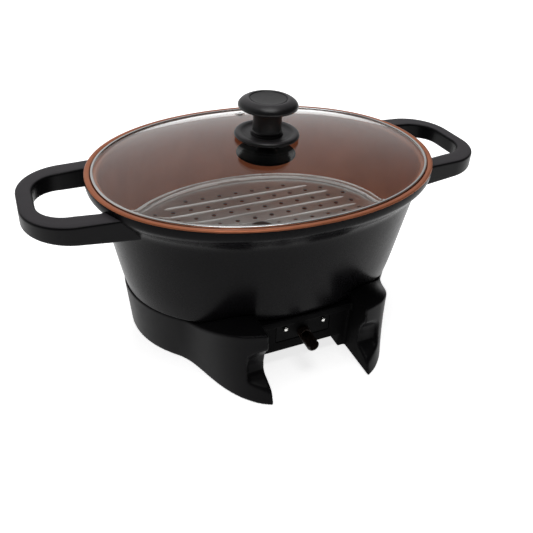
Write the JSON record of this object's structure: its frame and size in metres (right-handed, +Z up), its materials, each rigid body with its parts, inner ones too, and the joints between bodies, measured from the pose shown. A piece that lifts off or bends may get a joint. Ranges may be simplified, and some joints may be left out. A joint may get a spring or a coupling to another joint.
{
  "type": "multicooker",
  "caption": "Oval countertop multicooker: cast pot with loop handles, lift-off domed glass lid and steaming rack, on a legged heating base with an inlet for a plug-in control.",
  "frame": {"origin": "on the table, under the middle of the pot", "axes": "+X to the right-hand handle, -Y to the front with the inlet bay, +Z up"},
  "size_m": [0.492, 0.3222, 0.2456],
  "materials": {
    "housing_plastic": "fine moulded texture, semi-matte",
    "cover_plastic": "matte",
    "fastener_steel": "zinc plated",
    "spring_steel": "drawn wire",
    "foot_rubber": "matte",
    "shield_alloy": "pressed sheet",
    "plate_alloy": "cast and turned",
    "element_sheath": "heat-tinted tube",
    "socket_plastic": "matte moulded",
    "pin_metal": "bright plated",
    "guide_plastic": "moulded heat-resistant resin",
    "fuse_ceramic": "glazed",
    "pot_coated_alloy": "satin black coating outside, copper-coloured non-stick inside",
    "phenolic": "satin moulded resin",
    "inlay_plastic": "satin",
    "rack_steel": "polished sheet",
    "lid_glass": "clear tempered",
    "band_steel": "polished band"
  },
  "bodies": {
    "base": {"base_housing": "housing_plastic", "bottom_cover": "cover_plastic", "cover_screws": "fastener_steel", "rubber_feet": "foot_rubber", "support_posts": "fastener_steel", "heat_shield": "shield_alloy", "heating_plate": "plate_alloy", "heating_element": "element_sheath", "plate_screws": "fastener_steel", "socket_block": "socket_plastic", "socket_screws": "fastener_steel", "terminal_pins": "pin_metal", "probe_guide": "guide_plastic", "probe_tube": "plate_alloy", "thermal_fuse": "fuse_ceramic", "sensor_guide": "socket_plastic", "sensor_spring": "spring_steel"},
    "sensor": {"sensor_cap": "plate_alloy", "sensor_clip": "fastener_steel"},
    "pot": {"pot": "pot_coated_alloy", "handle_left": "phenolic", "handle_right": "phenolic", "handle_screws": "fastener_steel"},
    "rack": {"steamer_rack": "rack_steel"},
    "lid": {"lid_glass": "lid_glass", "lid_band": "band_steel", "vent_eyelet": "band_steel", "knob_gasket": "foot_rubber", "knob_guard": "phenolic", "lid_knob": "phenolic", "knob_inlay": "inlay_plastic", "steam_baffle": "phenolic", "knob_washer": "fastener_steel", "knob_screw": "fastener_steel"}
  },
  "joints": [
    {"name": "pot_lift", "type": "slide", "parent": "base", "child": "pot", "axis": [0, 0, 1], "range_m": [0, 0.16]},
    {"name": "lid_lift", "type": "slide", "parent": "pot", "child": "lid", "axis": [0, 0, 1], "range_m": [0, 0.2]},
    {"name": "rack_lift", "type": "slide", "parent": "pot", "child": "rack", "axis": [0, 0, 1], "range_m": [0, 0.077]},
    {"name": "sensor_press", "type": "slide", "parent": "base", "child": "sensor", "axis": [0, 0, 1], "range_m": [-0.003, 0], "stiffness_N_per_m": 400, "springref_m": 0.004, "deforming": ["sensor_spring"]}
  ]
}
